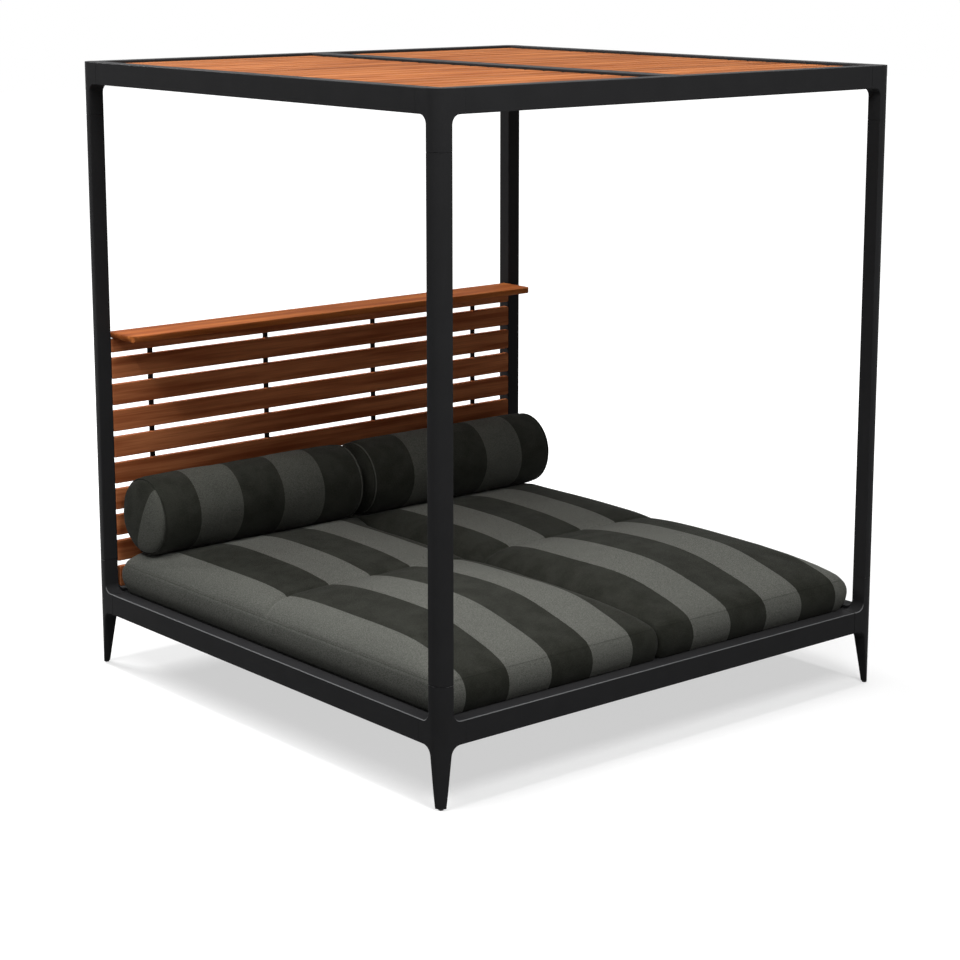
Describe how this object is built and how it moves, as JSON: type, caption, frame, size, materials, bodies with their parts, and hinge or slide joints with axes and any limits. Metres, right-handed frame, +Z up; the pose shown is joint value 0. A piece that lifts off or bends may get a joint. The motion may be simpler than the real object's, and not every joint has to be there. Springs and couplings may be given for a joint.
{
  "type": "canopy daybed",
  "caption": "Outdoor daybed with a slatted timber canopy on slim metal posts, a slatted headboard with a ledge, striped mattress cushions and round bolsters.",
  "frame": {"origin": "plan centre of the metal frame, on the floor", "axes": "+X across the bed, +Y from the foot end to the headboard, +Z up"},
  "size_m": [2, 2, 2.2],
  "materials": {
    "frame_coat": "fine satin powder coat",
    "teak": "oiled, fine grain",
    "striped_canvas": "heathered weave in broad dark and grey stripes",
    "glide": "matte"
  },
  "bodies": {
    "frame": {"leg_casting_front_left": "frame_coat", "leg_casting_front_right": "frame_coat", "leg_casting_rear_right": "frame_coat", "leg_casting_rear_left": "frame_coat", "post_front_left": "frame_coat", "post_front_right": "frame_coat", "post_rear_right": "frame_coat", "post_rear_left": "frame_coat", "roof_casting_front_left": "frame_coat", "roof_casting_front_right": "frame_coat", "roof_casting_rear_right": "frame_coat", "roof_casting_rear_left": "frame_coat", "base_rail_front": "frame_coat", "base_rail_rear": "frame_coat", "base_rail_left": "frame_coat", "base_rail_right": "frame_coat", "roof_rail_front": "frame_coat", "roof_rail_rear": "frame_coat", "roof_rail_left": "frame_coat", "roof_rail_right": "frame_coat", "roof_beam": "frame_coat", "headboard_upright_1": "frame_coat", "headboard_upright_2": "frame_coat", "headboard_upright_3": "frame_coat", "headboard_upright_4": "frame_coat", "deck_bar_1": "frame_coat", "deck_bar_2": "frame_coat", "deck_bar_3": "frame_coat", "deck_bar_4": "frame_coat", "deck_bar_5": "frame_coat", "deck_bar_6": "frame_coat", "deck_bar_7": "frame_coat", "deck_bar_8": "frame_coat", "deck_bar_9": "frame_coat", "deck_ring": "frame_coat", "deck_spine": "frame_coat", "roof_panel_left": "teak", "roof_panel_right": "teak", "headboard_slat_1": "teak", "headboard_slat_2": "teak", "headboard_slat_3": "teak", "headboard_slat_4": "teak", "headboard_slat_5": "teak", "headboard_slat_6": "teak", "headboard_slat_7": "teak", "headboard_slat_8": "teak", "headboard_slat_9": "teak", "headboard_slat_10": "teak", "headboard_shelf": "teak", "foot_glide_front_left": "glide", "foot_glide_front_right": "glide", "foot_glide_rear_right": "glide", "foot_glide_rear_left": "glide"},
    "mattress_left": {"mattress_left": "striped_canvas"},
    "mattress_right": {"mattress_right": "striped_canvas"},
    "bolster_left": {"bolster_left": "striped_canvas"},
    "bolster_right": {"bolster_right": "striped_canvas"}
  },
  "joints": [
    {"name": "mattress_left_lift", "type": "slide", "parent": "frame", "child": "mattress_left", "axis": [0, 0, 1], "range_m": [0, 0.15]},
    {"name": "mattress_right_lift", "type": "slide", "parent": "frame", "child": "mattress_right", "axis": [0, 0, 1], "range_m": [0, 0.15]},
    {"name": "bolster_left_lift", "type": "slide", "parent": "mattress_left", "child": "bolster_left", "axis": [0, 0, 1], "range_m": [0, 0.3]},
    {"name": "bolster_right_lift", "type": "slide", "parent": "mattress_right", "child": "bolster_right", "axis": [0, 0, 1], "range_m": [0, 0.3]}
  ]
}
